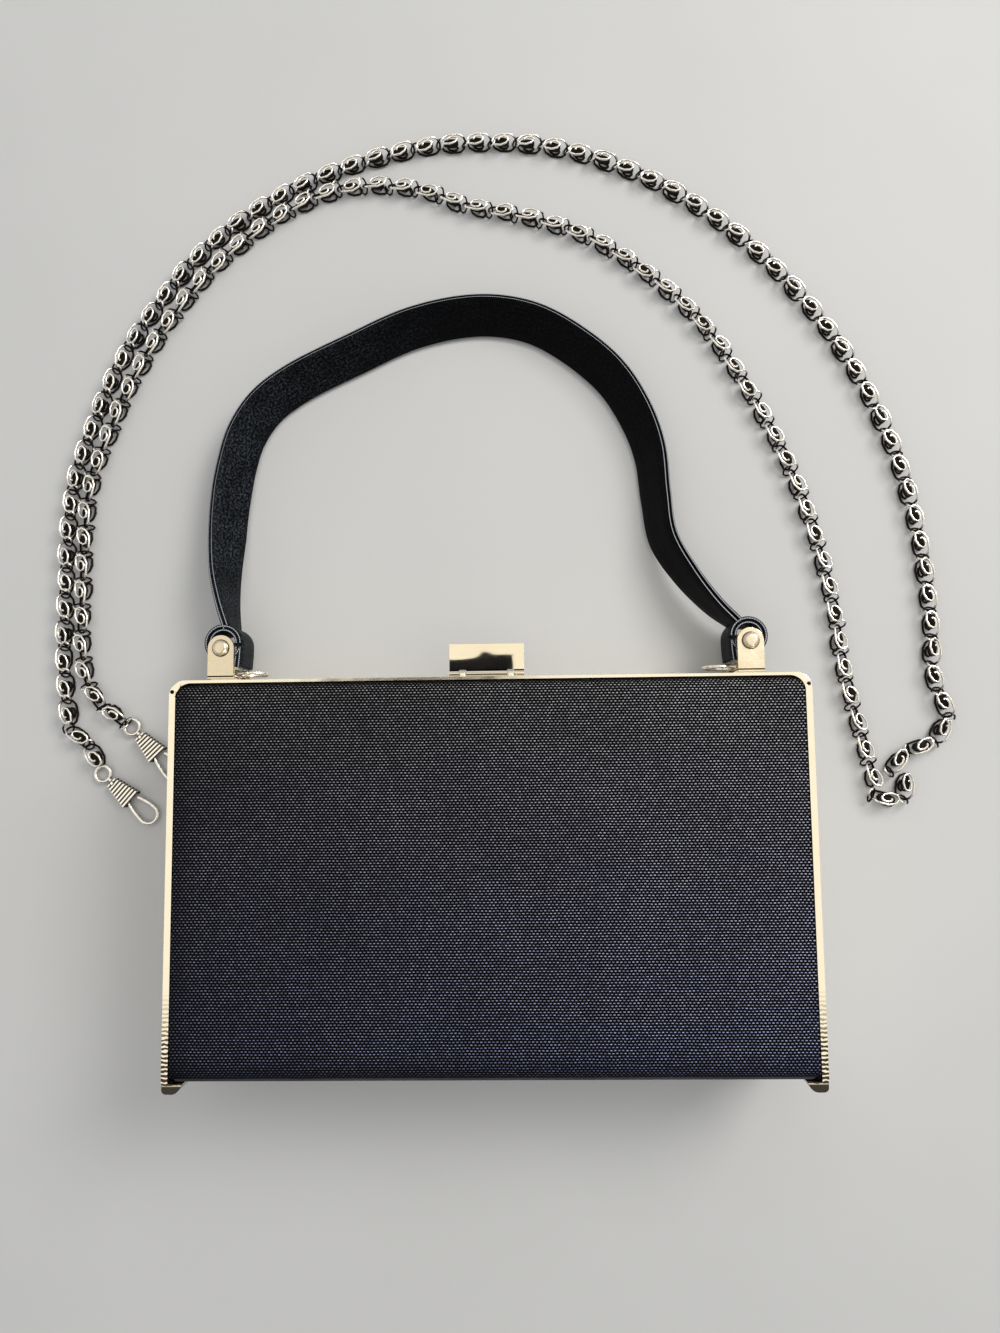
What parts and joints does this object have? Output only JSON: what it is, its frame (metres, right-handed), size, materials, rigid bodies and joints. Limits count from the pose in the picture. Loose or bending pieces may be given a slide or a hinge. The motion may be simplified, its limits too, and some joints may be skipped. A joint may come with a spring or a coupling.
{
  "type": "box bag",
  "caption": "Hard cloth-covered box bag with metal ends, flip clasp, short strap handle and a loose scroll-link chain with snap hooks, lying on its back.",
  "frame": {"origin": "middle of the back panel, where the bag rests on a surface", "axes": "+Z out of the front panel, +Y from the bag towards its handle, +X to the right seen from the front"},
  "size_m": [0.3223, 0.3365, 0.05],
  "materials": {
    "cloth": "coarse matt weave, near black navy",
    "satin": "black ribbed satin",
    "polished": "polished pale nickel",
    "nickel": "worn nickel wire"
  },
  "bodies": {
    "back": {"back_tray": "cloth", "back_frame": "polished", "hinge_pin_left": "nickel", "hinge_pin_right": "nickel", "clasp_strike": "polished", "handle_bracket_left": "polished", "handle_rivet_left": "polished", "chain_ring_left": "nickel", "handle_bracket_right": "polished", "handle_rivet_right": "polished", "chain_ring_right": "nickel", "handle_strap": "satin", "chain_outer": "nickel", "chain_inner": "nickel", "snap_hook_lower": "nickel", "snap_hook_upper": "nickel"},
    "front": {"front_tray": "cloth", "front_frame": "polished", "clasp_base": "polished", "clasp_pin": "nickel"},
    "lever": {"clasp_lever": "polished"},
    "gate_lower": {"snap_gate_lower": "nickel"},
    "gate_upper": {"snap_gate_upper": "nickel"}
  },
  "joints": [
    {"name": "case_hinge", "type": "hinge", "parent": "back", "child": "front", "pos_m": [0, -0.0624, 0.025], "axis": [1, 0, 0], "range_deg": [0, 70]},
    {"name": "clasp_flip", "type": "hinge", "parent": "front", "child": "lever", "pos_m": [0, 0.0644, 0.03], "axis": [1, 0, 0], "range_deg": [0, 60]},
    {"name": "snap_gate_lower_pivot", "type": "hinge", "parent": "back", "child": "gate_lower", "pos_m": [-0.13738, 0.02919, 0.0019], "axis": [0, 0, -1], "range_deg": [0, 15], "stiffness_Nm_per_rad": 0.002},
    {"name": "snap_gate_upper_pivot", "type": "hinge", "parent": "back", "child": "gate_upper", "pos_m": [-0.12759, 0.04566, 0.0019], "axis": [0, 0, -1], "range_deg": [0, 15], "stiffness_Nm_per_rad": 0.002}
  ]
}
